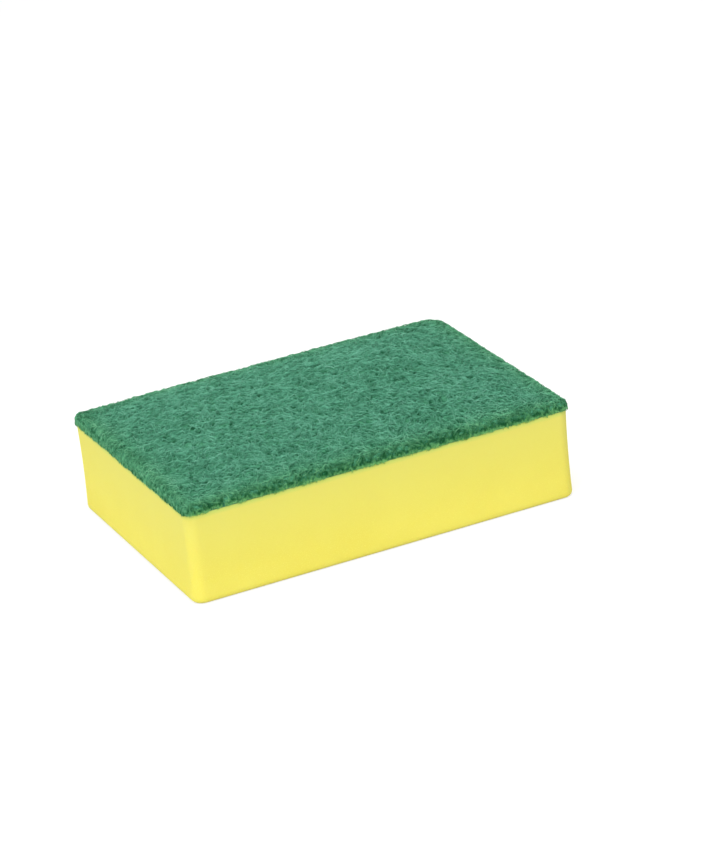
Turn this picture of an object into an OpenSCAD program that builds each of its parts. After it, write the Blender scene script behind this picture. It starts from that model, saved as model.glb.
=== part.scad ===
// Cleaning sponge: a block of soft foam with a scouring pad of matted fibre bonded to its top face.
// Millimetres, +Z up. The origin is the middle of the underside, +X runs along the length.

/* [Sponge] */
// Length of the sponge
sponge_l = 100; // [80:1:140]
// Width of the sponge
sponge_w = 70; // [50:1:100]
// Radius of the pad's upright corners
corner_r = 2; // [1.8:0.1:8]
// Radius of the pad's corner at +X and +Y, which is cut rounder
round_corner_r = 5.5; // [1.8:0.1:12]

/* [Foam block] */
// Thickness of the foam
foam_t = 22.5; // [12:0.5:50]
// How far the foam's sides stand back under the pad's edge
foam_setback = 0.1; // [0:0.05:0.6]
// How much larger the radius of its corners is than that of the pad's
foam_corner_extra = 1; // [0.5:0.1:3]
// How far the foam's sides are drawn in at half height
waist = 0.2; // [0:0.05:1]
// Radius of the edge round the underside
base_edge_r = 1.2; // [0.4:0.1:2]

/* [Scouring pad] */
// Thickness of the pad in its middle
pad_t = 6; // [5.5:0.1:12]
// Thickness of the pad at its cut edge
edge_t = 2.6; // [2.3:0.1:5]
// Distance from the edge over which the pad rises to its full thickness
shoulder_w = 26; // [10:0.5:50]
// Radius of the edge round the pad's top
pad_edge_r = 1.5; // [0.5:0.1:2]

/* [Matted fibre] */
// Depth of the gaps between the tufts
tuft_depth = 1.1; // [0.1:0.05:1.5]
// Length of a tuft, along the run of its fibre
tuft_l = 8; // [4:0.5:15]
// Width of a tuft
tuft_w = 3.6; // [2:0.1:8]
// Distance from the edge over which the gaps reach their full depth
tuft_fade = 5; // [1.5:0.1:12]
// How far the cut fibre ends stray along the pad's edge
fray = 0.25; // [0.05:0.05:0.8]
// Squares that the matted surface is divided into
surface_squares = 3700; // [1500:100:4000]

/* [Hidden] */

foam_yellow = [0.95, 0.88, 0.36];
pad_green = [0.19, 0.47, 0.35];

// Segments in a quarter of a turn
corner_steps = 8;
edge_steps = 3;
// Levels in the foam's side and in the pad's cut edge
waist_steps = 6;
cut_steps = 3;

// The pad's outline before its edge strays outwards
pad_half_l = sponge_l / 2 - fray;
pad_half_w = sponge_w / 2 - fray;
// Height of the straight cut face under the rounded edge
cut_h = edge_t - pad_edge_r;
// Shoulder on a pad that may be too narrow for its full width
rise_w = min(shoulder_w, pad_half_w);
// Layer of the scatter that the frayed edge starts from, after those of the three lays of tufts
fray_layer = 4;
// Distance between points of the matted surface
surface_step = 2 * sqrt((pad_half_l - pad_edge_r) * (pad_half_w - pad_edge_r) / surface_squares);

// Half of the foam's length and width where it meets the pad
foam_half_l = pad_half_l - foam_setback;
foam_half_w = pad_half_w - foam_setback;

// Repeatable scatter from 0 to 1 for a pair of whole numbers
function scatter(i, j) =
    let (spread = sin(i * 127.1 + j * 311.7 + 41.3) * 4375.85)
    spread - floor(spread);

// Eases from 0 to 1 with level ends
function ease(t) = t * t * (3 - 2 * t);

// Smooth scatter over the plane, from 0 to 1, whose patches are one unit long and wide
function patches(u, v, layer) =
    let (
        i = floor(u),
        j = floor(v),
        s = ease(u - i),
        t = ease(v - j),
        row = 57 * layer,
        near = scatter(i, j + row) * (1 - s) + scatter(i + 1, j + row) * s,
        far = scatter(i, j + 1 + row) * (1 - s) + scatter(i + 1, j + 1 + row) * s
    )
    near * (1 - t) + far * t;

// Tufts that run at an angle to the length, from 0 in the gaps between them to 1 on their crests
function tufts(x, y, turn, layer) =
    let (
        along = x * cos(turn) + y * sin(turn),
        across = y * cos(turn) - x * sin(turn)
    )
    1 - abs(2 * patches(along / tuft_l, across / tuft_w, layer) - 1);

// Depth of the matted surface under its crests, where three lays of tufts cross each other
function gap_depth(x, y) =
    tuft_depth * (1 - max(tufts(x, y, 12, 1), tufts(x, y, -38, 2), tufts(x, y, 67, 3)));

// Radius of the pad's corner in the quarter that a point lies in
function corner_at(x, y) = x > 0 && y > 0 ? round_corner_r : corner_r;

// How far a point lies past the straight stretches of the pad's sides, along both axes
function past_sides(x, y) =
    let (radius = corner_at(x, y))
    [sign(x) * max(abs(x) - pad_half_l + radius, 0), sign(y) * max(abs(y) - pad_half_w + radius, 0)];

// Moves a point of a plain rectangle so that the rectangle's corners become round
function round_plan(x, y) =
    let (
        past = past_sides(x, y),
        reach = norm(past),
        pull = reach == 0 ? 0 : max(abs(past[0]), abs(past[1])) / reach
    )
    [x, y] + (pull - 1) * past;

// Direction straight out of the pad at a point of its edge
function outwards(x, y) = let (past = past_sides(x, y)) past / norm(past);

// Share of the pad's full rise at a distance from one of its sides, ending level
function shoulder(from_side) = let (t = min(from_side / rise_w, 1)) t * (3 - t * t) / 2;

// Thickness of the pad without its tufts, at two distances from its sides: low over the cut edge,
// which is rounded, and rising over the shoulder to the crowned middle
function pad_profile(from_end, from_long_side) =
    let (
        turn = 1 - min(from_end, from_long_side, pad_edge_r) / pad_edge_r,
        rise = shoulder(from_end) * shoulder(from_long_side)
    )
    edge_t + (pad_t - edge_t) * rise - pad_edge_r * (1 - sqrt(1 - turn * turn));

// Grid lines across one side of the pad, closer together over its rounded edges
function grid_lines(half) =
    let (
        flat_half = half - pad_edge_r,
        count = round(2 * flat_half / surface_step),
        turned = [for (k = [0 : edge_steps - 1]) half - pad_edge_r * (1 - cos(90 * k / edge_steps))]
    )
    concat(
        [for (line = turned) -line],
        [for (k = [0 : count]) flat_half * (2 * k / count - 1)],
        [for (k = [edge_steps - 1 : -1 : 0]) turned[k]]
    );

// One level of the foam: a rectangle with round corners, drawn in from where the foam meets the pad
function foam_outline(drawn_in, z) = [
    for (corner = [0 : 3], k = [0 : corner_steps])
    let (
        angle = 90 * (corner + k / corner_steps),
        side_x = corner == 0 || corner == 3 ? 1 : -1,
        side_y = corner < 2 ? 1 : -1,
        radius = corner_at(side_x, side_y) + foam_corner_extra,
        reach = radius - drawn_in
    )
    [
        side_x * (foam_half_l - radius) + reach * cos(angle),
        side_y * (foam_half_w - radius) + reach * sin(angle),
        z
    ]
];

// Closed solid through levels that have the same number of points, from the lowest up
module loft(levels) {
    size = len(levels[0]);
    top = len(levels) - 1;
    polyhedron(
        points = [for (level = levels, point = level) point],
        faces = concat(
            [[for (k = [0 : size - 1]) k]],
            [for (n = [0 : top - 1], k = [0 : size - 1])
                let (next = (k + 1) % size)
                [n * size + k, (n + 1) * size + k, (n + 1) * size + next, n * size + next]],
            [[for (k = [size - 1 : -1 : 0]) top * size + k]]
        ),
        convexity = 4
    );
}

// Foam block: round corners, a rounded edge underneath and sides that are drawn in at half height
module foam_block() {
    side_h = foam_t - base_edge_r;
    edge_levels = [for (k = [0 : edge_steps - 1])
        let (angle = 90 * k / edge_steps)
        [base_edge_r * (1 - sin(angle)), base_edge_r * (1 - cos(angle))]];
    side_levels = [for (k = [0 : waist_steps])
        let (share = k / waist_steps)
        [4 * waist * share * (1 - share), base_edge_r + side_h * share]];
    color(foam_yellow)
        loft([for (level = concat(edge_levels, side_levels)) foam_outline(level[0], level[1])]);
}

// Scouring pad: matted top, rounded shoulder and a frayed cut edge
module scouring_pad() {
    lines_x = grid_lines(pad_half_l);
    lines_y = grid_lines(pad_half_w);
    last_x = len(lines_x) - 1;
    last_y = len(lines_y) - 1;

    // Matted top, one row of points after another
    surface = [for (y = lines_y, x = lines_x)
        let (
            place = round_plan(x, y),
            from_end = pad_half_l - abs(x),
            from_long_side = pad_half_w - abs(y),
            matting = ease(min(from_end, from_long_side, tuft_fade) / tuft_fade),
            thickness = pad_profile(from_end, from_long_side) - matting * gap_depth(place[0], place[1])
        )
        [place[0], place[1], foam_t + thickness]];

    // Points of the surface that lie on its edge, counter-clockwise from the corner at -X, -Y
    rim = concat(
        [for (i = [0 : last_x - 1]) i],
        [for (j = [0 : last_y - 1]) j * (last_x + 1) + last_x],
        [for (i = [last_x : -1 : 1]) last_y * (last_x + 1) + i],
        [for (j = [last_y : -1 : 1]) j * (last_x + 1)]
    );
    rim_size = len(rim);
    first_cut = len(surface);

    // Cut face under the edge, from its upper level down to the foam. It strays most at half height
    cut = [for (n = [1 : cut_steps], k = [0 : rim_size - 1])
        let (
            point = surface[rim[k]],
            frayed = patches(point[0] / surface_step, point[1] / surface_step, fray_layer + n),
            stray = n == cut_steps ? 0 : fray * frayed,
            place = [point[0], point[1]] + stray * outwards(point[0], point[1])
        )
        [place[0], place[1], foam_t + cut_h * (1 - n / cut_steps)]];

    color(pad_green)
        polyhedron(
            points = concat(surface, cut),
            faces = concat(
                [for (j = [0 : last_y - 1], i = [0 : last_x - 1])
                    let (corner = j * (last_x + 1) + i)
                    each [
                        [corner, corner + last_x + 1, corner + 1],
                        [corner + 1, corner + last_x + 1, corner + last_x + 2]
                    ]],
                [for (n = [0 : cut_steps - 1], k = [0 : rim_size - 1])
                    let (
                        next = (k + 1) % rim_size,
                        over = n == 0 ? rim[k] : first_cut + (n - 1) * rim_size + k,
                        over_next = n == 0 ? rim[next] : first_cut + (n - 1) * rim_size + next,
                        under = first_cut + n * rim_size + k,
                        under_next = first_cut + n * rim_size + next
                    )
                    each [[over, over_next, under], [under, over_next, under_next]]],
                [[for (k = [0 : rim_size - 1]) first_cut + (cut_steps - 1) * rim_size + k]]
            ),
            convexity = 6
        );
}

foam_block();
scouring_pad();
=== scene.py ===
"""Cleaning sponge: the finish of its foam block, its scouring pad and the pad's matted fibre.

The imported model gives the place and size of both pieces. The script dresses them: a soft block of
foam, a green mat that follows the pad's tufts, crimped fibres laid over it, and the cut fibre ends
along its edge. Lengths are in metres, +Z up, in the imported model's own frame.
"""
import math

import bpy
import numpy as np
from bpy.props import FloatProperty, FloatVectorProperty, IntProperty, PointerProperty
from mathutils import Matrix, Vector


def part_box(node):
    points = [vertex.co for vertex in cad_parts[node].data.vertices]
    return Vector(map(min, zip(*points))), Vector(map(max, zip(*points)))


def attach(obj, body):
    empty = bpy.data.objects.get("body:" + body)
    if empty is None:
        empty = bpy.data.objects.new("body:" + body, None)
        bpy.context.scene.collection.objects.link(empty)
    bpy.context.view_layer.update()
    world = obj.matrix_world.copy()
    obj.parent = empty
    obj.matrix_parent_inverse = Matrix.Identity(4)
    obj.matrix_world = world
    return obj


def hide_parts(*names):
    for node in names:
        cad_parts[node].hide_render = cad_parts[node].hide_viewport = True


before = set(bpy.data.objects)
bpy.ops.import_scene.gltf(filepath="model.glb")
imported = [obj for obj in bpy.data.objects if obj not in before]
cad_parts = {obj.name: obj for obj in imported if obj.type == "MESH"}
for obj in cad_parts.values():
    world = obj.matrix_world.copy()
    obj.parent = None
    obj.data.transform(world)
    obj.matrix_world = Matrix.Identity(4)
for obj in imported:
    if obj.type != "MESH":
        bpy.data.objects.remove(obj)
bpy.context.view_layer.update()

bl_info = {
    "name": "Cleaning Sponge",
    "version": (1, 0, 0),
    "blender": (4, 5, 0),
    "location": "View3D > Sidebar > Sponge",
    "description": "Foam, scouring mat and matted fibre of a cleaning sponge, with a white studio",
    "category": "Add Mesh",
}

FOAM_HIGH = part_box("foam_block")[1]
PAD_LOW, PAD_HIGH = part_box("scouring_pad")

SEED = 7
MM = 0.001
HALF_TURN = math.pi
WHOLE_TURN = 2 * math.pi
# Keeps a division from meeting nought
TINY = 1e-12

# The sponge's sizes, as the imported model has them
FOAM_HALF_L = FOAM_HIGH.x
FOAM_HALF_W = FOAM_HIGH.y
FOAM_T = FOAM_HIGH.z
PAD_T = PAD_HIGH.z - PAD_LOW.z
PAD_PROUD = 0.1 * MM
PAD_HALF_L = FOAM_HALF_L + PAD_PROUD
PAD_HALF_W = FOAM_HALF_W + PAD_PROUD
CORNER_R = 2 * MM
ROUND_CORNER_R = 5.5 * MM
FOAM_CORNER_EXTRA = 1 * MM

# Ways that the three lays of tufts run
TUFT_TURNS = [math.radians(angle) for angle in (12, -38, 67)]

# Straight stretches in a fibre and in a cut end
FIBRE_STEPS = 6
END_STEPS = 4
# Distance from the seam over which no fibre sinks into the pad
CLEAR_W = 0.8 * MM

# First layers of the scatter, so that no two patterns are alike
TUFT_LAYER = 1
PIT_LAYER = 11
FOAM_LAYER = 21
GRAIN_LAYER = 31
BUNCH_LAYER = 41
TONE_LAYER = 51


# Settings


class FoamSettings(bpy.types.PropertyGroup):
    """Sizes and colours of the foam block."""

    edge_r: FloatProperty(
        name="Lower edge radius", description="Radius of the edge round the underside",
        default=1.2 * MM, unit="LENGTH")
    waist: FloatProperty(
        name="Waist", description="How far the sides are drawn in at half height",
        default=0.2 * MM, unit="LENGTH")
    step: FloatProperty(
        name="Point distance", description="Distance between points of the foam's skin",
        default=0.62 * MM, unit="LENGTH")
    sway: FloatProperty(
        name="Sway", description="How far the blade wandered as it cut the sides",
        default=0.015 * MM, unit="LENGTH")
    sway_l: FloatProperty(
        name="Sway length", description="Distance over which the cut wanders",
        default=24 * MM, unit="LENGTH")
    grain: FloatProperty(
        name="Grain", description="Depth of the uneven skin that the cut cells leave",
        default=0.02 * MM, unit="LENGTH")
    grain_l: FloatProperty(
        name="Grain size", description="Distance between the hollows of that skin",
        default=1.3 * MM, unit="LENGTH")
    colour: FloatVectorProperty(
        name="Foam", description="Colour of the foam", subtype="COLOR", size=3,
        default=(0.885, 0.825, 0.172))
    # Painted shade: the colour that stands for shade deep in the open cells
    pore_shade_colour: FloatVectorProperty(
        name="Pores", description="Colour deep in the open cells", subtype="COLOR", size=3,
        default=(0.80, 0.71, 0.110))
    # Height below the seam over which the foam turns greenish
    seam_green_l: FloatProperty(
        name="Stain height", description="How far the pad's green shows in the foam under the seam",
        default=1.3 * MM, unit="LENGTH")
    seam_green_colour: FloatVectorProperty(
        name="Seam green", description="Colour of the foam at the seam", subtype="COLOR", size=3,
        default=(0.52, 0.72, 0.16))


class PadSettings(bpy.types.PropertyGroup):
    """Sizes and colours of the scouring pad's mat."""

    edge_t: FloatProperty(
        name="Edge thickness", description="Thickness of the pad at its cut edge",
        default=2.6 * MM, unit="LENGTH")
    edge_r: FloatProperty(
        name="Upper edge radius", description="Radius of the edge round the pad's top",
        default=1.5 * MM, unit="LENGTH")
    shoulder_w: FloatProperty(
        name="Shoulder", description="Distance from the edge over which the pad reaches its full thickness",
        default=26 * MM, unit="LENGTH")
    tuft_depth: FloatProperty(
        name="Tuft depth", description="Depth of the gaps between the tufts",
        default=1.1 * MM, unit="LENGTH")
    tuft_l: FloatProperty(
        name="Tuft length", description="Length of a tuft, along the run of its fibre",
        default=8 * MM, unit="LENGTH")
    tuft_w: FloatProperty(
        name="Tuft width", description="Width of a tuft", default=3.6 * MM, unit="LENGTH")
    tuft_fade: FloatProperty(
        name="Tuft fade", description="Distance from the edge over which the gaps reach their full depth",
        default=5 * MM, unit="LENGTH")
    pit: FloatProperty(
        name="Pit depth", description="Depth of the small pits between bunched fibres",
        default=0.6 * MM, unit="LENGTH")
    pit_l: FloatProperty(
        name="Pit size", description="Width of such a pit", default=0.65 * MM, unit="LENGTH")
    sink: FloatProperty(
        name="Mat depth", description="How far the mat lies under the pad's outer fibres",
        default=0.42 * MM, unit="LENGTH")
    step: FloatProperty(
        name="Point distance", description="Distance between points of the mat",
        default=0.45 * MM, unit="LENGTH")
    colour: FloatVectorProperty(
        name="Mat", description="Colour of the mat between the fibres", subtype="COLOR", size=3,
        default=(0.060, 0.250, 0.135))
    # Painted shade: the colour that stands for shade deep in the pits
    pit_shade_colour: FloatVectorProperty(
        name="Pits", description="Colour deep in the pits", subtype="COLOR", size=3,
        default=(0.006, 0.098, 0.038))


class FibreSettings(bpy.types.PropertyGroup):
    """Sizes and colours of the crimped fibre."""

    lays: IntProperty(
        name="Lays", description="Lays of fibre, one over the other", default=5, min=1, max=6)
    count: IntProperty(
        name="Fibres in a lay", description="Fibres in each lay", default=3900, min=10, max=4000)
    length: FloatProperty(
        name="Length", description="Mean length of a fibre", default=4.2 * MM, unit="LENGTH")
    thickness: FloatProperty(
        name="Thickness", description="Thickness of a fibre", default=0.17 * MM, unit="LENGTH")
    crimp_l: FloatProperty(
        name="Crimp length", description="Length of one wave of the crimp",
        default=3 * MM, unit="LENGTH")
    crimp_turn: FloatProperty(
        name="Crimp turn", description="How far a fibre turns to either side in its crimp",
        default=math.radians(14), unit="ROTATION")
    curl: FloatProperty(
        name="Curl", description="How far a fibre turns one way from end to end",
        default=math.radians(32), unit="ROTATION")
    grain_l: FloatProperty(
        name="Grain length", description="Distance over which the fibres change their main direction",
        default=9 * MM, unit="LENGTH")
    stray: FloatProperty(
        name="Stray", description="How far most fibres turn away from the main direction round them",
        default=math.radians(45), unit="ROTATION")
    weave: FloatProperty(
        name="Weave", description="How far a fibre rises and dips along its run",
        default=0.22 * MM, unit="LENGTH")
    trim_l: FloatProperty(
        name="Trim width", description="Distance from the seam over which the fibre lies flatter",
        default=6 * MM, unit="LENGTH")
    lay_step: FloatProperty(
        name="Lay distance", description="Distance from one lay to the next",
        default=0.09 * MM, unit="LENGTH")
    end_count: IntProperty(
        name="Cut ends", description="Cut fibre ends round the pad's edge", default=6000, min=10, max=8000)
    end_l: FloatProperty(
        name="Cut end length", description="Mean length of a cut end", default=1.5 * MM, unit="LENGTH")
    end_overhang: FloatProperty(
        name="Overhang", description="How far bunches of cut ends hang down over the foam",
        default=0.8 * MM, unit="LENGTH")
    bunch_l: FloatProperty(
        name="Bunch width", description="Width of a bunch of cut ends", default=1.8 * MM, unit="LENGTH")
    end_turn: FloatProperty(
        name="Cut end turn", description="How far a cut end turns away from straight outwards",
        default=math.radians(75), unit="ROTATION")
    end_rise: FloatProperty(
        name="Cut end rise", description="How far the tip of a cut end stands off the pad",
        default=0.45 * MM, unit="LENGTH")
    dark_colour: FloatVectorProperty(
        name="Dark fibre", description="Colour of the darkest fibres", subtype="COLOR", size=3,
        default=(0.000, 0.098, 0.036))
    colour: FloatVectorProperty(
        name="Fibre", description="Colour of most fibres", subtype="COLOR", size=3,
        default=(0.095, 0.350, 0.220))
    pale_colour: FloatVectorProperty(
        name="Pale fibre", description="Colour of the palest fibres", subtype="COLOR", size=3,
        default=(0.205, 0.530, 0.385))
    mottle_l: FloatProperty(
        name="Mottle size", description="Distance between the dark and pale spots in the fibre's colour",
        default=0.45 * MM, unit="LENGTH")
    mottle: FloatProperty(
        name="Mottle", description="Spread of tone between the spots", default=0.10, min=0, max=1)
    cloud_l: FloatProperty(
        name="Cloud size", description="Distance between broader dark and pale patches",
        default=2.6 * MM, unit="LENGTH")
    cloud: FloatProperty(
        name="Clouds", description="Spread of tone between the broader patches", default=0.13, min=0, max=1)
    rim_l: FloatProperty(
        name="Rim width", description="Distance from the seam over which the colour of the rim fades out",
        default=3 * MM, unit="LENGTH")
    rim_mottle: FloatProperty(
        name="Mottle of the rim", description="Spread of tone that the spots gain at the seam",
        default=1.0, min=0, max=1)
    # Painted shade on the cut edge
    painted_rim_shade: FloatProperty(
        name="Shade of the rim", description="How much darker in tone the fibre is at the cut edge",
        default=0.29, min=0, max=1)
    rim_blue: FloatProperty(
        name="Blue of the rim", description="Share of the fibre's blue that is left at the yellow foam",
        default=0.42, min=0, max=1)
    # Width of the painted light on the last tips at the long sides and of the painted dark line at the short
    # sides
    fringe_l: FloatProperty(
        name="Fringe width",
        description="Distance from the seam over which the tips are pale on long sides, dark on short ones",
        default=0.42 * MM, unit="LENGTH")


class StudioSettings(bpy.types.PropertyGroup):
    """Light and camera of the white studio."""

    sky: FloatProperty(
        name="Even light", description="Brightness of the light from all round", default=0.57)
    top_lamp: FloatProperty(
        name="Top lamp", description="Brightness that the lamp overhead adds to a face turned to it",
        default=0.86)
    side_lamp: FloatProperty(
        name="Side lamp", description="Brightness that the lamp at the left adds to a face turned to it",
        default=0.28)
    azimuth: FloatProperty(
        name="Azimuth", description="Way that the camera looks, from +Y", default=math.radians(-23.34),
        subtype="ANGLE")
    elevation: FloatProperty(
        name="Elevation", description="Height of the camera above the horizon",
        default=math.radians(22.94), subtype="ANGLE")
    roll: FloatProperty(
        name="Roll", description="How far the camera leans to one side", default=math.radians(-5.97),
        subtype="ANGLE")
    distance: FloatProperty(
        name="Distance", description="Distance of the camera", default=0.866, unit="LENGTH")
    lens: FloatProperty(
        name="Lens", description="Focal length of the camera", default=151.90, subtype="DISTANCE_CAMERA")
    aim_right: FloatProperty(
        name="Aim right", description="How far the camera is aimed to the right of the sponge's middle",
        default=7.35 * MM, unit="LENGTH")
    aim_up: FloatProperty(
        name="Aim up", description="How far the camera is aimed above the sponge's middle",
        default=4.61 * MM, unit="LENGTH")


# Meshes


def add_mesh(name, points, faces, marks=None, places=None):
    """Makes an object from an array of points and a list of face arrays, each with one row per face.
    Marks are named arrays with a number for each point, which the material reads as attributes. Places for
    each face's corners, in arrays like those of the faces, go into a UV map of the mesh."""
    mesh = bpy.data.meshes.new(name)
    mesh.vertices.add(len(points))
    mesh.vertices.foreach_set("co", points.astype(np.float32).ravel())
    sizes = np.concatenate([np.full(len(rows), rows.shape[1]) for rows in faces])
    corners = np.concatenate([rows.ravel() for rows in faces])
    mesh.loops.add(len(corners))
    mesh.loops.foreach_set("vertex_index", corners.astype(np.int32))
    mesh.polygons.add(len(sizes))
    mesh.polygons.foreach_set("loop_start", (np.cumsum(sizes) - sizes).astype(np.int32))
    mesh.polygons.foreach_set("use_smooth", np.ones(len(sizes), bool))
    mesh.update(calc_edges=True)
    for mark, numbers in (marks or {}).items():
        layer = mesh.attributes.new(mark, "FLOAT", "POINT")
        layer.data.foreach_set("value", numbers.astype(np.float32).ravel())
    if places is not None:
        stored = mesh.uv_layers.new(name="OFBake")
        flat = np.concatenate([rows.reshape(-1, 2) for rows in places])
        stored.uv.foreach_set("vector", flat.astype(np.float32).ravel())
    piece = bpy.data.objects.new(name, mesh)
    bpy.context.scene.collection.objects.link(piece)
    return piece


def grid_faces(rows, columns):
    """Quads between the points of a grid that is stored row by row, facing up where both run in +."""
    corner = (np.arange(rows - 1)[:, None] * columns + np.arange(columns - 1)).ravel()
    return np.stack([corner, corner + 1, corner + columns + 1, corner + columns], 1)


def grid_rim(rows, columns):
    """Indices round the edge of such a grid, counter-clockwise."""
    index = np.arange(rows * columns).reshape(rows, columns)
    return np.concatenate([index[0, :-1], index[:-1, -1], index[-1, :0:-1], index[:0:-1, 0]])


def block_lines(half, side, step):
    """Positions of grid lines across a block's skin, laid out flat: evenly spaced over the face, whose
    half width is given, and then over the side, so that one line falls where the edge starts to turn."""
    face = np.linspace(-half, half, round(2 * half / step) + 1)
    outer = np.linspace(half, half + side, round(side / step) + 1)[1:]
    return np.concatenate([-outer[::-1], face, outer])


def corner_radius(x, y, extra=0.0):
    """Radius of the corner in whose quarter a point lies: one of the four is cut rounder."""
    return np.where((x > 0) & (y > 0), ROUND_CORNER_R, CORNER_R) + extra


def past_core(x, y, half_l, half_w, radius):
    """How far a point lies past the core of a block, which is the block less its corners' radius."""
    return (x - np.clip(x, radius - half_l, half_l - radius),
            y - np.clip(y, radius - half_w, half_w - radius))


def round_corners(x, y, half_l, half_w, radius):
    """Moves a rectangle's points so that its corners become round: past the core both ways, a point
    keeps its larger distance from the core and takes it along its own direction."""
    u, v = past_core(x, y, half_l, half_w, radius)
    pull = np.maximum(np.abs(u), np.abs(v)) / np.maximum(np.hypot(u, v), TINY) - 1
    return x + pull * u, y + pull * v


def bend_down(x, y, half_l, half_w, radius, edge_r):
    """Bends a flat skin over a block's edge: it stays flat up to the edge, turns through a quarter circle
    of radius edge_r and then goes straight down. Gives the plan position, the depth under the flat
    face, the distance gone down the side, and the outward direction."""
    u, v = past_core(x, y, half_l, half_w, radius)
    reach = np.hypot(u, v)
    out_x, out_y = u / np.maximum(reach, TINY), v / np.maximum(reach, TINY)
    flat = radius - edge_r
    turn = np.clip((reach - flat) / edge_r, 0, HALF_TURN / 2)
    down = np.maximum(reach - flat - edge_r * HALF_TURN / 2, 0)
    gone = np.minimum(reach, flat) + edge_r * np.sin(turn)
    depth = edge_r * (1 - np.cos(turn)) + down
    outward = np.stack([out_x * np.sin(turn), out_y * np.sin(turn), np.cos(turn)], -1)
    return x - u + out_x * gone, y - v + out_y * gone, depth, down, outward


# Scatter


def scatter(i, j):
    """Repeatable scatter from 0 to 1 for whole numbers: the fraction of a large sine of both."""
    spread = np.sin(np.radians(i * 127.1 + j * 311.7 + 41.3)) * 4375.85
    return spread - np.floor(spread)


def ease(t):
    """Eases from 0 to 1 with level ends."""
    return t * t * (3 - 2 * t)


def patches(u, v, layer):
    """Smooth scatter over the plane, from 0 to 1: the scatter of the four whole numbers round a point,
    blended by the eased distance to each."""
    i, j = np.floor(u), np.floor(v)
    s, t = ease(u - i), ease(v - j)
    row = 57 * layer
    near = scatter(i, j + row) * (1 - s) + scatter(i + 1, j + row) * s
    far = scatter(i, j + 1 + row) * (1 - s) + scatter(i + 1, j + 1 + row) * s
    return near * (1 - t) + far * t


# Foam block


def foam_skin(foam):
    """The foam's underside and sides: a flat skin bent round the lower edge, drawn in at half height by a
    parabola, swayed by broad scatter and roughened by fine scatter. The underside stays flat."""
    side = foam.edge_r * HALF_TURN / 2 + FOAM_T - foam.edge_r
    lines_x = block_lines(FOAM_HALF_L - foam.edge_r, side, foam.step)
    lines_y = block_lines(FOAM_HALF_W - foam.edge_r, side, foam.step)
    x, y = np.meshgrid(lines_x, lines_y)
    radius = corner_radius(x, y, FOAM_CORNER_EXTRA)
    x, y = round_corners(x, y, FOAM_HALF_L, FOAM_HALF_W, radius)
    plan_x, plan_y, height, down, outward = bend_down(x, y, FOAM_HALF_L, FOAM_HALF_W, radius, foam.edge_r)
    outward[..., 2] *= -1

    share = down / (FOAM_T - foam.edge_r)
    broad = patches(x / foam.sway_l, y / foam.sway_l, FOAM_LAYER) - 0.5
    u, v = x / foam.grain_l, y / foam.grain_l
    fine = patches(u, v, FOAM_LAYER + 1) + patches(2 * u, 2 * v, FOAM_LAYER + 2)
    off_floor = ease(np.clip(height / foam.edge_r, 0, 1))
    off_pad = ease(np.clip((FOAM_T - height) / (2 * foam.edge_r), 0, 1))
    rough = off_floor * off_pad * (foam.sway * broad - 0.5 * foam.grain * fine)
    push = rough - 4 * foam.waist * share * (1 - share)
    return np.stack([plan_x, plan_y, height], -1) + push[..., None] * outward


def foam_material(foam):
    """Open-cell foam: cells of two sizes pit the skin, and painted shade makes their depths a little darker.
    The colour drifts over a few centimetres, painted shade darkens it towards the glued face, and it turns
    greenish at the seam. Light passes a short way into it."""
    made = Shading("foam")
    place = made.node("ShaderNodeTexCoord").outputs["Object"]
    drift = made.noise(place, 70, 2, 0.5)
    cells = made.cells(place, 2100)
    fine_cells = made.cells(place, 4300)
    grain = made.noise(place, 900, 3, 0.6)
    pits = made.math("MULTIPLY", cells, fine_cells)
    # Painted shade: the depths of the cells take the darker pore colour
    colour = made.ramp(pits, [(0.0, foam.pore_shade_colour), (0.16, foam.colour)])
    tint = made.mix(made.spread(drift, 0.35, 0.65, 0, 0.2), colour, scaled(foam.colour, 1.02))
    level = made.part(place, "Z")
    # Painted shade: the foam darkens from a quarter of its height up to the pad
    painted_shade_towards_pad = made.spread(level, 0.25 * FOAM_T, FOAM_T, 0, 1)
    tint = made.mix(painted_shade_towards_pad, tint, scaled(foam.colour, 0.88))
    # The foam's colour blends into a green over the last part of its side below the seam
    greened_at_seam = made.spread(level, FOAM_T - foam.seam_green_l, FOAM_T, 0, 0.8)
    tint = made.mix(greened_at_seam, tint, (*foam.seam_green_colour, 1))
    made.bump([(grain, 0.10 * MM), (pits, 0.22 * MM)], 0.30)
    made.set("Base Color", tint)
    made.set("Roughness", made.spread(grain, 0.3, 0.7, 0.82, 0.95))
    made.set("Specular IOR Level", 0.25)
    made.set("Subsurface Weight", 0.35)
    made.set("Subsurface Radius", (1.0, 0.8, 0.3))
    made.set("Subsurface Scale", 2.2 * MM)
    return made.material


# Scouring pad


def tufts(x, y, turn, layer, pad):
    """Tufts that run at an angle to the length, from 0 in the gaps between them to 1 on their crests."""
    along = x * math.cos(turn) + y * math.sin(turn)
    across = y * math.cos(turn) - x * math.sin(turn)
    return 1 - np.abs(2 * patches(along / pad.tuft_l, across / pad.tuft_w, layer) - 1)


def gap_depth(x, y, pad):
    """Depth under the tufts' crests, from 0 to 1, where three lays of tufts cross each other."""
    lays = [tufts(x, y, turn, TUFT_LAYER + lay, pad) for lay, turn in enumerate(TUFT_TURNS)]
    return 1 - np.max(lays, 0)


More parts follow.
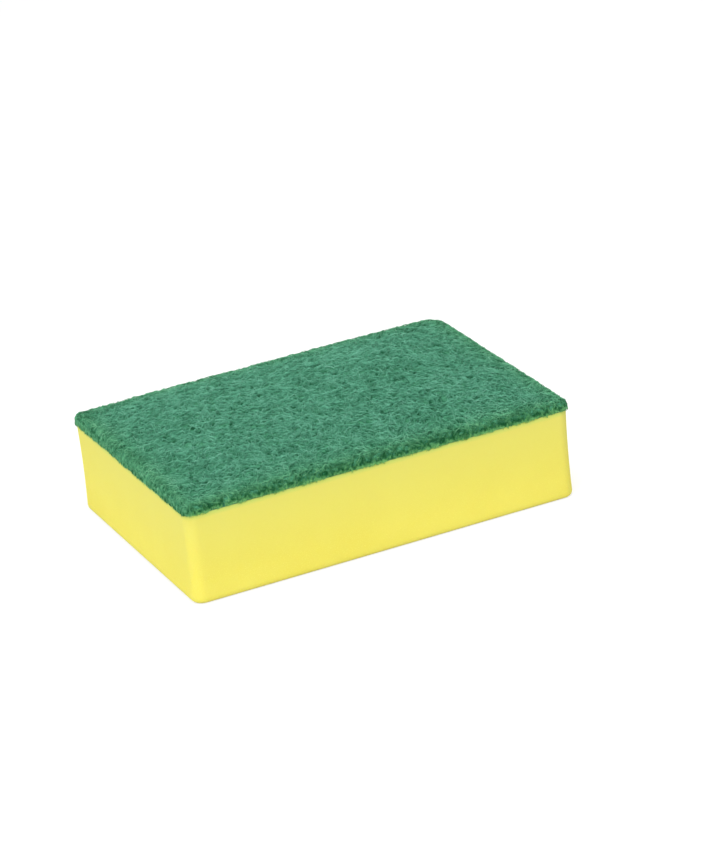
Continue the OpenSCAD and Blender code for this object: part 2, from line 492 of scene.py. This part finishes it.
def pit_depth(x, y, pad):
    """Depth of the small pits between bunched fibres, from 0 to 1, where a fine scatter and half of a
    wider one, turned by an eighth of a turn, add up to more than a threshold."""
    threshold, softness, wider = 0.85, 0.40, 0.6
    first = patches(x / pad.pit_l, y / pad.pit_l, PIT_LAYER)
    second = patches(wider * (x + y) / pad.pit_l, wider * (y - x) / pad.pit_l, PIT_LAYER + 1)
    return ease(np.clip((first + 0.5 * second - threshold) / softness, 0, 1))


def shoulder(from_side, pad):
    """Share of the pad's full rise at a distance from one of its sides: a cubic that ends level."""
    t = np.clip(from_side / min(pad.shoulder_w, PAD_HALF_W), 0, 1)
    return t * (3 - t * t) / 2


def pad_side(pad):
    """Length of the pad's skin from the start of its rounded edge to the foam."""
    return pad.edge_r * HALF_TURN / 2 + pad.edge_t - pad.edge_r


def pad_reach(x, y, pad):
    """Distance of a point of the pad's flat skin past the seam, less than 0 on the pad."""
    radius = corner_radius(x, y)
    past = np.hypot(*past_core(x, y, PAD_HALF_L, PAD_HALF_W, radius))
    within = np.minimum(PAD_HALF_L - np.abs(x), PAD_HALF_W - np.abs(y)) - radius
    return past - np.maximum(within, 0) - (radius - pad.edge_r + pad_side(pad))


def pad_skin(x, y, pad, follow=1.0):
    """Point and outward direction of the pad's skin: flat cloth bent over the edge, on a crowned middle,
    with the gaps between tufts and the pits taken out of it, shallower towards the edge. follow is the
    share of the pits' depth that the skin goes down into. Also gives that depth."""
    plan_x, plan_y, depth, _, outward = bend_down(
        x, y, PAD_HALF_L, PAD_HALF_W, corner_radius(x, y), pad.edge_r)
    from_end, from_long_side = PAD_HALF_L - np.abs(plan_x), PAD_HALF_W - np.abs(plan_y)
    rise = shoulder(from_end, pad) * shoulder(from_long_side, pad)
    height = FOAM_T + pad.edge_t + (PAD_T - pad.edge_t) * rise - depth
    inner = ease(np.clip(np.minimum(from_end, from_long_side) / pad.tuft_fade, 0, 1))
    off_seam = ease(np.clip(-pad_reach(x, y, pad) / pad.edge_r, 0, 1))
    pit = (0.45 + 0.55 * inner) * off_seam * pit_depth(x, y, pad)
    hollow = inner * pad.tuft_depth * gap_depth(plan_x, plan_y, pad) + follow * pad.pit * pit
    return np.stack([plan_x, plan_y, height], -1) - hollow[..., None] * outward, outward, pit


def mat_points(pad):
    """The mat under the outer fibres: the pad's skin, sunk a little, down to the foam."""
    lines_x = block_lines(PAD_HALF_L - pad.edge_r, pad_side(pad), pad.step)
    lines_y = block_lines(PAD_HALF_W - pad.edge_r, pad_side(pad), pad.step)
    x, y = np.meshgrid(lines_x, lines_y)
    x, y = round_corners(x, y, PAD_HALF_L, PAD_HALF_W, corner_radius(x, y))
    points, outward, pit = pad_skin(x, y, pad)
    sunk = pad.sink * (0.4 + 0.6 * outward[..., 2:])
    # The second value is a tone of painted shade, lower down in the pits
    return points - sunk * outward, 1 - pit


def mat_material(pad):
    """Resin-bound mat: short strokes in two directions over a green that painted shade darkens down into the
    pits.
    """
    made = Shading("mat")
    place = made.node("ShaderNodeTexCoord").outputs["Object"]
    tone = made.node("ShaderNodeAttribute", attribute_name="tone").outputs["Fac"]
    strokes = made.noise(made.turned(place, (0, 0, 0.4), (1, 3, 1)), 900, 3, 0.6)
    crossing = made.noise(made.turned(place, (0, 0, -0.9), (1, 3, 1)), 1100, 3, 0.6)
    felt = made.math("MAXIMUM", strokes, crossing)
    # The tone attribute is painted shade, darker down in the pits, times the strokes
    shade = made.math("MULTIPLY", tone, made.spread(felt, 0.40, 0.66, 0.45, 1.0))
    made.set("Base Color", made.ramp(shade, [(0.15, pad.pit_shade_colour), (0.85, pad.colour)]))
    made.bump([(felt, 0.3 * MM)], 0.6)
    made.set("Roughness", made.spread(felt, 0.3, 0.7, 0.75, 0.9))
    made.set("Specular IOR Level", 0.2)
    return made.material


# Fibre


def fibre_paths(rng, x, y, heading, length, steps, fibre):
    """Crimped lines through points of the pad's flat skin: the heading swings as a sine of the run and
    drifts by the curl, and the line is the running sum of its steps. Gives x, y and the share of the
    run, a row for each line."""
    count = len(x)
    share = np.linspace(0, 1, steps + 1)
    length = length * rng.uniform(0.6, 1.4, (count, 1))
    run = (share[1:] - 0.5 / steps) * length
    heading = heading[:, None] + fibre.curl * rng.uniform(-1, 1, (count, 1)) * (run / length - 0.5)
    swing = fibre.crimp_turn * rng.uniform(0.5, 1.4, (count, 1))
    heading = heading + swing * np.sin(WHOLE_TURN * (run / fibre.crimp_l + rng.random((count, 1))))
    x_run = np.concatenate([np.zeros((count, 1)), np.cumsum(np.cos(heading) * length / steps, 1)], 1)
    y_run = np.concatenate([np.zeros((count, 1)), np.cumsum(np.sin(heading) * length / steps, 1)], 1)
    x_run += x[:, None] - x_run.mean(1, keepdims=True)
    y_run += y[:, None] - y_run.mean(1, keepdims=True)
    return x_run, y_run, share


def scattered_on_pad(rng, count, pad, nearest):
    """Random points of the pad's flat skin that lie up to the seam, and no farther from it than asked."""
    tries = 60 * count
    x = rng.uniform(-1, 1, tries) * (PAD_HALF_L + pad_side(pad))
    y = rng.uniform(-1, 1, tries) * (PAD_HALF_W + pad_side(pad))
    reach = pad_reach(x, y, pad)
    kept = np.flatnonzero((reach < 0) & (reach > -nearest))[:count]
    return x[kept], y[kept]


def keep_above(x, y, limit, pad):
    """Moves each line inwards by as much as its lowest point lies past the seam and its own limit, and
    then once more by what is left, because round a corner the move turns the line's points."""
    for _ in range(2):
        radius = corner_radius(x, y)
        u, v = past_core(x, y, PAD_HALF_L, PAD_HALF_W, radius)
        past = pad_reach(x, y, pad)
        worst = np.argmax(past, 1)[:, None]
        excess = np.maximum(np.take_along_axis(past, worst, 1) - limit, 0)
        share = excess / np.maximum(np.take_along_axis(np.hypot(u, v), worst, 1), TINY)
        x = x - np.take_along_axis(u, worst, 1) * share
        y = y - np.take_along_axis(v, worst, 1) * share
    return x, y


def on_map(*corners):
    """Places of faces' corners in a tube's own cell of the map, each given along and across the cell."""
    return np.stack([np.stack(np.broadcast_arrays(along, across), -1) for along, across in corners], -2)


def tube_map(count, share):
    """Map places of tubes, each in its own cell, in rows and columns: a tube's length runs along the cell
    and its three sides lie across it. Gives the places of the quads and of the end triangles."""
    side = np.arange(3)
    low, high = 0.1 + 0.8 * side / 3, 0.1 + 0.8 * (side + 1) / 3
    middle = (low + high) / 2
    at = 0.04 + 0.92 * share
    near, far = at[1:-2, None], at[2:-1, None]
    quads = on_map((near, low), (near, high), (far, high), (far, low)).reshape(1, -1, 4, 2)
    first = on_map((at[1], high), (at[1], low), (at[0], middle))
    last = on_map((at[-2], low), (at[-2], high), (at[-1], middle))
    caps = np.concatenate([first, last])[None]

    columns = math.ceil(math.sqrt(count / 4))
    cell = np.stack([np.arange(count) % columns, np.arange(count) // columns], -1)[:, None, None]
    size = np.array([1 / columns, 1 / math.ceil(count / columns)])
    return [((cell + part) * size).reshape(-1, part.shape[2], 2) for part in (quads, caps)]


def tubes(points, outward, radius, share):
    """Three-sided closed tubes round lines of points, pointed at both ends. Each ring is turned to its
    line and to the outward direction, and thins towards the ends with the cube of the distance from
    the middle. Gives points, faces and map places of all tubes."""
    count, stops = points.shape[:2]
    along = np.gradient(points, axis=1)
    along /= np.linalg.norm(along, axis=2, keepdims=True)
    side = np.cross(along, outward)
    side /= np.maximum(np.linalg.norm(side, axis=2, keepdims=True), TINY)
    up = np.cross(side, along)
    angles = HALF_TURN / 2 + WHOLE_TURN * np.arange(3) / 3
    thin = radius[:, None] * (1 - 0.4 * np.abs(2 * share - 1) ** 3)
    rings = points[:, :, None] + thin[:, :, None, None] * (
        np.cos(angles)[:, None] * side[:, :, None] + np.sin(angles)[:, None] * up[:, :, None])
    inner = 3 * (stops - 2)
    mesh_points = np.concatenate([rings[:, 1:-1].reshape(count, inner, 3), points[:, [0, -1]]], 1)

    start = (np.arange(count) * (inner + 2))[:, None, None]
    here = np.arange(3)
    after = (here + 1) % 3
    ring = 3 * np.arange(stops - 3)[:, None]
    quad = np.stack([ring + here, ring + after, ring + after + 3, ring + here + 3], -1)
    quads = start + quad.reshape(1, -1, 4)
    first = np.stack([after, here, np.full(3, inner)], -1)
    last = np.stack([inner - 3 + here, inner - 3 + after, np.full(3, inner + 1)], -1)
    caps = start + np.concatenate([first, last])[None]
    return mesh_points.reshape(-1, 3), [quads.reshape(-1, 4), caps.reshape(-1, 3)], tube_map(count, share)


def fibre_lift(rng, lay, reach, level, rise, share, fibre):
    """Height of each fibre's line over the pad's skin: its lay's height, its own weave as a sine of the run
    and its rise, all less near the seam, with both ends tucked in. On the cut face it lies a little
    deeper, and next to the foam it isn't below the skin."""
    waves, least_loose, set_back = 1.9, 0.35, 0.10 * MM
    count = len(reach)
    own = rng.uniform(-0.5, 0.5, (count, 1)) * fibre.lay_step
    weave = fibre.weave * np.sin(WHOLE_TURN * (waves * share + rng.random((count, 1))))
    tuck = -0.6 * fibre.weave * (2 * share - 1) ** 4
    loose = least_loose + (1 - least_loose) * ease(np.clip(-reach / fibre.trim_l, 0, 1))
    lift = loose * (own + weave + rise * share ** 2) + tuck - (fibre.lays - 1 - lay) * fibre.lay_step
    lift -= 0.5 * fibre.thickness + set_back * (1 - level)
    clear = ease(np.clip(1 + reach / CLEAR_W, 0, 1))
    return lift * (1 - clear) + np.maximum(lift, 0) * clear


def fibre_tone_and_shade(rng, lay, lift, rise, pit, share, fibre):
    """Tone of each fibre without its rim, from 0 for dark to 1 for pale: its own tone, with painted shade on
    the lower lays, where it lies low and in the pits, and painted light where it is lifted and at a tip that
    rises. A few are pale flecks."""
    usual, spread, painted_shade_by_lay = 0.580, 0.050, 0.02
    fleck_share, fleck_tone = 0.010, 0.9
    count = len(lift)
    # Painted shade: the lower lays are darker
    base = rng.normal(usual, spread, (count, 1)) + painted_shade_by_lay * (lay + 1 - fibre.lays)
    fleck = rng.random((count, 1)) < fleck_share
    # Painted light and shade: paler where the fibre is lifted or a cut end's tip rises, darker where it lies
    # low
    painted_light_where_raised = (0.36 * lift + 0.7 * rise * share) / MM
    # Painted shade: darker in the pits
    return np.where(fleck, fleck_tone, base) + painted_light_where_raised - 0.32 * pit


def by_side(on_long_side, at_ends, at_long_sides):
    """Goes from a value at the pad's ends to another at its long sides."""
    return at_ends + (at_long_sides - at_ends) * on_long_side


def laid_fibre(rng, lay, paths, limit, rise, pad, fibre):
    """Fibres along paths on the pad's flat skin, no farther past the seam than their limit. Spots and
    clouds of tone vary them. Towards the seam the spots grow stronger, painted shade darkens the cut face,
    most of all on the long sides, and the last tips get painted light there and a painted dark line on the
    short sides. Gives points, faces, places and two marks: the tone, with that painted light and shade, and
    the nearness to the seam."""
    x, y, share = paths
    x, y = keep_above(x, y, limit, pad)
    points, outward, pit = pad_skin(x, y, pad, 1 - 0.2 * lay)
    reach = pad_reach(x, y, pad)
    level = outward[..., 2]
    lift = fibre_lift(rng, lay, reach, level, rise, share, fibre)
    points = points + lift[..., None] * outward

    tone = fibre_tone_and_shade(rng, lay, lift, rise, pit, share, fibre)
    on_long_side = 1 - np.abs(outward[..., 0])
    rim = by_side(on_long_side, 0.55, 1) * np.exp(np.minimum(reach, 0) / fibre.rim_l)
    spots = patches(x / fibre.mottle_l, y / fibre.mottle_l, TONE_LAYER) - 0.47
    clouds = patches(x / fibre.cloud_l, y / fibre.cloud_l, TONE_LAYER + 1) - 0.5
    tone += (fibre.mottle + fibre.rim_mottle * rim) * spots + fibre.cloud * clouds
    # Painted shade on the cut face and towards the seam, deeper on the long sides than at the ends
    shade = by_side(on_long_side, 0.8, 1.7) * (0.75 * (1 - level) + 0.25 * rim)
    # Painted light on the last tips at the long sides, and a painted dark line at the short sides
    painted_fringe = by_side(on_long_side, -0.6, 3.6) * np.exp(-np.abs(reach) / fibre.fringe_l)
    tone -= fibre.painted_rim_shade * (shade - painted_fringe)

    radius = 0.5 * fibre.thickness * rng.uniform(0.75, 1.2, len(x))
    mesh_points, faces, places = tubes(points, outward, radius, share)
    marks = {"tone": np.clip(tone, 0, 1), "rim": rim}
    for name, line in marks.items():
        marks[name] = np.concatenate([np.repeat(line[:, 1:-1], 3, 1), line[:, [0, -1]]], 1)
    return mesh_points, faces, places, marks


def fibre_lay(rng, lay, pad, fibre):
    """One lay of fibre over the whole pad, which ends at or just over the seam."""
    x, y = scattered_on_pad(rng, fibre.count, pad, PAD_HALF_W + PAD_HALF_L)
    main = 2 * WHOLE_TURN * patches(x / fibre.grain_l, y / fibre.grain_l, GRAIN_LAYER + lay)
    heading = main + fibre.stray * rng.normal(0, 1, len(x))
    paths = fibre_paths(rng, x, y, heading, fibre.length, FIBRE_STEPS, fibre)
    limit = rng.uniform(-0.4, 0.2, (len(x), 1)) * MM
    return laid_fibre(rng, lay, paths, limit, 0, pad, fibre)


def cut_ends(rng, pad, fibre):
    """Short ends on the cut face and the edge over it, which stick out and hang over the foam in bunches.
    Their heading is outwards, with a turn to either side."""
    x, y = scattered_on_pad(rng, fibre.end_count, pad, 0.4 * pad_side(pad))
    out_x, out_y = past_core(x, y, PAD_HALF_L, PAD_HALF_W, corner_radius(x, y))
    heading = np.arctan2(out_y, out_x) + fibre.end_turn * rng.uniform(-1, 1, len(x))
    paths = fibre_paths(rng, x, y, heading, fibre.end_l, END_STEPS, fibre)
    bunch = ease(patches(x / fibre.bunch_l, y / fibre.bunch_l, BUNCH_LAYER))[:, None]
    limit = fibre.end_overhang * (bunch - 0.2 + 0.3 * rng.uniform(-1, 1, (len(x), 1)))
    rise = fibre.end_rise * rng.random((len(x), 1))
    return laid_fibre(rng, fibre.lays - 1, paths, limit, rise, pad, fibre)


def fibre_material(fibre):
    """Dyed fibre: each has its own tone between dark and pale, with the painted light and shade that the
    tone carries, broken along its run by fine noise, and a soft shine that varies with the resin on it.
    Fibre next to the yellow foam has less blue."""
    tones = [fibre.dark_colour, fibre.colour, fibre.pale_colour]
    rim_tones = [(*tone[:2], fibre.rim_blue * tone[2]) for tone in tones]
    made = Shading("fibre")
    place = made.node("ShaderNodeTexCoord").outputs["Object"]
    # The tone attribute holds the fibre's own tone and its painted light and shade
    tone = made.node("ShaderNodeAttribute", attribute_name="tone").outputs["Fac"]
    resin = made.noise(place, 650, 2, 0.5)
    drift = made.noise(place, 60, 2, 0.5)
    shade = made.math("ADD", tone, made.spread(resin, 0.3, 0.7, -0.12, 0.12))
    shade = made.math("ADD", shade, made.spread(drift, 0.3, 0.7, -0.05, 0.05))
    stops = (0.10, 0.50, 0.95)
    inner, outer = [made.ramp(shade, list(zip(stops, colours))) for colours in (tones, rim_tones)]
    rim = made.node("ShaderNodeAttribute", attribute_name="rim").outputs["Fac"]
    made.set("Base Color", made.mix(rim, inner, outer))
    made.set("Roughness", made.spread(resin, 0.3, 0.7, 0.5, 0.72))
    made.set("Specular IOR Level", 0.25)
    return made.material


# Shading


def scaled(colour, share):
    """A colour made lighter or darker, as a shader's socket takes it."""
    return (*[min(part * share, 1) for part in colour], 1)


class Shading:
    """Builds one material on the standard surface shader, a node at a time."""

    def __init__(self, name):
        self.material = bpy.data.materials.new(name)
        self.material.use_nodes = True
        self.tree = self.material.node_tree
        self.surface = self.tree.nodes["Principled BSDF"]

    def node(self, kind, **values):
        """Adds a node and sets its properties."""
        made = self.tree.nodes.new(kind)
        for name, value in values.items():
            setattr(made, name, value)
        return made

    def feed(self, socket, value):
        """Links an output to a socket, or sets its value."""
        if isinstance(value, bpy.types.NodeSocket):
            self.tree.links.new(value, socket)
        else:
            socket.default_value = value

    def set(self, name, value):
        """Feeds one of the surface shader's own sockets."""
        self.feed(self.surface.inputs[name], value)

    def noise(self, place, scale, detail, roughness):
        """Soft noise from 0 to 1 whose patches are 1/scale metres wide."""
        made = self.node("ShaderNodeTexNoise")
        self.feed(made.inputs["Vector"], place)
        made.inputs["Scale"].default_value = scale
        made.inputs["Detail"].default_value = detail
        made.inputs["Roughness"].default_value = roughness
        return made.outputs["Fac"]

    def cells(self, place, scale):
        """Distance to the nearest wall of round cells that are 1/scale metres wide."""
        made = self.node("ShaderNodeTexVoronoi", feature="DISTANCE_TO_EDGE")
        self.feed(made.inputs["Vector"], place)
        made.inputs["Scale"].default_value = scale
        return made.outputs["Distance"]

    def part(self, place, axis):
        """One coordinate of the place."""
        made = self.node("ShaderNodeSeparateXYZ")
        self.feed(made.inputs[0], place)
        return made.outputs[axis]

    def turned(self, place, rotation, scale):
        """The place, turned and stretched."""
        made = self.node("ShaderNodeMapping")
        self.feed(made.inputs["Vector"], place)
        made.inputs["Rotation"].default_value = rotation
        made.inputs["Scale"].default_value = scale
        return made.outputs["Vector"]

    def math(self, operation, first, second):
        """One sum of two values."""
        made = self.node("ShaderNodeMath", operation=operation)
        self.feed(made.inputs[0], first)
        self.feed(made.inputs[1], second)
        return made.outputs["Value"]

    def spread(self, value, low, high, to_low, to_high):
        """Maps a value from one range to another, held within it."""
        made = self.node("ShaderNodeMapRange", clamp=True)
        for socket, number in zip(made.inputs, (value, low, high, to_low, to_high)):
            self.feed(socket, number)
        return made.outputs["Result"]

    def ramp(self, value, stops):
        """Colours along a value, from a list of places and colours."""
        made = self.node("ShaderNodeValToRGB")
        self.feed(made.inputs["Fac"], value)
        marks = made.color_ramp.elements
        while len(marks) < len(stops):
            marks.new(1.0)
        for mark, (at, colour) in zip(marks, stops):
            mark.position = at
            mark.color = (*colour, 1)
        return made.outputs["Color"]

    def mix(self, share, first, second):
        """Mixes two colours."""
        made = self.node("ShaderNodeMix", data_type="RGBA")
        self.feed(made.inputs["Factor"], share)
        self.feed(made.inputs[6], first)
        self.feed(made.inputs[7], second)
        return made.outputs[2]

    def bump(self, layers, strength):
        """Relief from heights in metres, one bump on the next."""
        normal = None
        for height, depth in layers:
            made = self.node("ShaderNodeBump")
            made.inputs["Strength"].default_value = strength
            made.inputs["Distance"].default_value = depth
            self.feed(made.inputs["Height"], height)
            if normal is not None:
                self.feed(made.inputs["Normal"], normal)
            normal = made.outputs["Normal"]
        self.set("Normal", normal)


# Studio


def white_where_seen(tree, seen, unseen):
    """Mixes two shaders: one for rays from the camera, in gloss and through glass, one for the rest."""
    path = tree.nodes.new("ShaderNodeLightPath")
    share = path.outputs["Is Camera Ray"]
    for kind in ("Is Glossy Ray", "Is Transmission Ray"):
        either = tree.nodes.new("ShaderNodeMath")
        either.operation = "MAXIMUM"
        tree.links.new(share, either.inputs[0])
        tree.links.new(path.outputs[kind], either.inputs[1])
        share = either.outputs[0]
    blend = tree.nodes.new("ShaderNodeMixShader")
    tree.links.new(share, blend.inputs[0])
    tree.links.new(unseen, blend.inputs[1])
    tree.links.new(seen, blend.inputs[2])
    return blend.outputs[0]


def add_sky(strength):
    """White surroundings that light the sponge evenly and are plain white where they are seen."""
    world = bpy.data.worlds.new("surroundings")
    world.use_nodes = True
    bpy.context.scene.world = world
    tree = world.node_tree
    tree.nodes.clear()
    seen = tree.nodes.new("ShaderNodeBackground")
    seen.inputs["Strength"].default_value = 1
    seen.inputs["Color"].default_value = (1, 1, 1, 1)
    lighting = tree.nodes.new("ShaderNodeBackground")
    lighting.inputs["Strength"].default_value = strength
    lighting.inputs["Color"].default_value = (1, 1, 1, 1)
    result = tree.nodes.new("ShaderNodeOutputWorld")
    tree.links.new(white_where_seen(tree, seen.outputs[0], lighting.outputs[0]), result.inputs["Surface"])


def add_floor():
    """White table. Where the camera sees it, part of its white is its own, so that the shadow is faint, and
    away from the sponge all of it, so that the table has no far edge."""
    half, fade_from, fade_to = 3.0, 0.15, 0.50
    corners = np.array([[-half, -half, 0], [half, -half, 0], [-half, half, 0], [half, half, 0]])
    floor = add_mesh("floor", corners, [grid_faces(2, 2)])
    material = bpy.data.materials.new("white table")
    material.use_nodes = True
    tree = material.node_tree
    tree.nodes.clear()
    shaded = tree.nodes.new("ShaderNodeBsdfDiffuse")
    shaded.inputs["Color"].default_value = (0.34, 0.34, 0.34, 1)
    own = tree.nodes.new("ShaderNodeEmission")
    own.inputs["Strength"].default_value = 0.68
    both = tree.nodes.new("ShaderNodeAddShader")
    tree.links.new(shaded.outputs[0], both.inputs[0])
    tree.links.new(own.outputs[0], both.inputs[1])
    place = tree.nodes.new("ShaderNodeTexCoord")
    away = tree.nodes.new("ShaderNodeVectorMath")
    away.operation = "LENGTH"
    tree.links.new(place.outputs["Object"], away.inputs[0])
    faded = tree.nodes.new("ShaderNodeMapRange")
    tree.links.new(away.outputs["Value"], faded.inputs["Value"])
    faded.inputs["From Min"].default_value = fade_from
    faded.inputs["From Max"].default_value = fade_to
    plain = tree.nodes.new("ShaderNodeEmission")
    table = tree.nodes.new("ShaderNodeMixShader")
    tree.links.new(faded.outputs["Result"], table.inputs[0])
    tree.links.new(both.outputs[0], table.inputs[1])
    tree.links.new(plain.outputs[0], table.inputs[2])
    bouncing = tree.nodes.new("ShaderNodeBsdfDiffuse")
    bouncing.inputs["Color"].default_value = (0.68, 0.68, 0.68, 1)
    result = tree.nodes.new("ShaderNodeOutputMaterial")
    tree.links.new(white_where_seen(tree, table.outputs[0], bouncing.outputs[0]), result.inputs["Surface"])
    floor.data.materials.append(material)


def add_lamp(name, azimuth, elevation, distance, size, brightness):
    """Square soft lamp turned to the sponge. Its brightness is what it adds to a white face turned to it,
    so its power is that times pi squared times the square of its distance."""
    lamp = bpy.data.lights.new(name, "AREA")
    lamp.shape = "SQUARE"
    lamp.size = size
    lamp.energy = brightness * math.pi ** 2 * distance ** 2
    lit = bpy.data.objects.new(name, lamp)
    a, e = math.radians(azimuth), math.radians(elevation)
    way = Vector((math.sin(a) * math.cos(e), -math.cos(a) * math.cos(e), math.sin(e)))
    lit.location = way * distance
    lit.rotation_euler = way.to_track_quat("Z", "Y").to_euler()
    bpy.context.scene.collection.objects.link(lit)


def add_camera(studio):
    """Camera on a circle round the sponge's middle, rolled, and then aimed a little aside."""
    a, e, roll = studio.azimuth, studio.elevation, studio.roll
    back = Vector((math.sin(a) * math.cos(e), -math.cos(a) * math.cos(e), math.sin(e)))
    level = Vector((math.cos(a), math.sin(a), 0))
    upright = back.cross(level)
    right = level * math.cos(roll) + upright * math.sin(roll)
    up = upright * math.cos(roll) - level * math.sin(roll)
    middle = Vector((0, 0, (FOAM_T + PAD_T) / 2))
    eye = middle + back * studio.distance + right * studio.aim_right + up * studio.aim_up
    lens = bpy.data.cameras.new("camera")
    lens.lens = studio.lens
    camera = bpy.data.objects.new("camera", lens)
    camera.matrix_world = Matrix((
        (right.x, up.x, back.x, eye.x),
        (right.y, up.y, back.y, eye.y),
        (right.z, up.z, back.z, eye.z),
        (0, 0, 0, 1),
    ))
    bpy.context.scene.collection.objects.link(camera)
    bpy.context.scene.camera = camera


# Operators


class SPONGE_OT_studio(bpy.types.Operator):
    """Set up the white table, the soft lamps and the camera"""

    bl_idname = "sponge.studio"
    bl_label = "Set Up Studio"

    def execute(self, context):
        studio = context.scene.sponge_studio
        context.scene.view_settings.view_transform = "Standard"
        add_camera(studio)
        add_sky(studio.sky)
        add_floor()
        add_lamp("top lamp", azimuth=-30, elevation=74, distance=1.6, size=1.1, brightness=studio.top_lamp)
        add_lamp("side lamp", azimuth=-54, elevation=30, distance=1.7, size=0.7, brightness=studio.side_lamp)
        return {"FINISHED"}


class SPONGE_OT_foam_block(bpy.types.Operator):
    """Add the foam block"""

    bl_idname = "sponge.foam_block"
    bl_label = "Add Foam Block"

    def execute(self, context):
        foam = context.scene.sponge_foam
        points = foam_skin(foam)
        rows, columns = points.shape[:2]
        underside = grid_faces(rows, columns)[:, ::-1]
        top = grid_rim(rows, columns)[None]
        block = add_mesh("foam", points.reshape(-1, 3), [underside, top])
        block.data.set_sharp_from_angle(angle=math.radians(60))
        block.data.materials.append(foam_material(foam))
        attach(block, "root")
        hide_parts("foam_block")
        return {"FINISHED"}


class SPONGE_OT_scouring_mat(bpy.types.Operator):
    """Add the mat of the scouring pad"""

    bl_idname = "sponge.scouring_mat"
    bl_label = "Add Scouring Mat"

    def execute(self, context):
        pad = context.scene.sponge_pad
        points, tone = mat_points(pad)
        rows, columns = points.shape[:2]
        top = grid_faces(rows, columns)
        under = grid_rim(rows, columns)[::-1][None]
        mat = add_mesh("mat", points.reshape(-1, 3), [top, under], {"tone": tone})
        mat.data.set_sharp_from_angle(angle=math.radians(70))
        mat.data.materials.append(mat_material(pad))
        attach(mat, "root")
        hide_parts("scouring_pad")
        return {"FINISHED"}


class SPONGE_OT_fibre_lays(bpy.types.Operator):
    """Lay crimped fibre over the scouring mat"""

    bl_idname = "sponge.fibre_lays"
    bl_label = "Lay Fibre"

    def execute(self, context):
        pad, fibre = context.scene.sponge_pad, context.scene.sponge_fibre
        material = fibre_material(fibre)
        rng = np.random.default_rng(SEED)
        made = [(f"fibre_lay_{lay + 1}", fibre_lay(rng, lay, pad, fibre)) for lay in range(fibre.lays)]
        made.append(("fibre_ends", cut_ends(rng, pad, fibre)))
        for name, (points, faces, places, marks) in made:
            piece = add_mesh(name, points, faces, marks, places)
            piece.data.materials.append(material)
            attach(piece, "root")
        return {"FINISHED"}


class SPONGE_PT_sidebar(bpy.types.Panel):
    """Sponge pieces in the 3D view's sidebar"""

    bl_label = "Cleaning Sponge"
    bl_idname = "SPONGE_PT_sidebar"
    bl_space_type = "VIEW_3D"
    bl_region_type = "UI"
    bl_category = "Sponge"

    def draw(self, context):
        for kind in OPERATORS:
            self.layout.operator(kind.bl_idname)
        for name, kind in SETTINGS.items():
            box = self.layout.box()
            settings = getattr(context.scene, name)
            for field in kind.__annotations__:
                box.prop(settings, field)


SETTINGS = {
    "sponge_foam": FoamSettings,
    "sponge_pad": PadSettings,
    "sponge_fibre": FibreSettings,
    "sponge_studio": StudioSettings,
}
OPERATORS = (SPONGE_OT_studio, SPONGE_OT_foam_block, SPONGE_OT_scouring_mat, SPONGE_OT_fibre_lays)


def register():
    for kind in (*SETTINGS.values(), *OPERATORS, SPONGE_PT_sidebar):
        bpy.utils.register_class(kind)
    for name, kind in SETTINGS.items():
        setattr(bpy.types.Scene, name, PointerProperty(type=kind))


def unregister():
    for name in SETTINGS:
        delattr(bpy.types.Scene, name)
    for kind in (SPONGE_PT_sidebar, *reversed(OPERATORS), *reversed(SETTINGS.values())):
        bpy.utils.unregister_class(kind)


def main():
    register()
    bpy.ops.sponge.studio()
    bpy.ops.sponge.foam_block()
    bpy.ops.sponge.scouring_mat()
    bpy.ops.sponge.fibre_lays()
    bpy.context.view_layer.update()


if __name__ == "__main__":
    main()
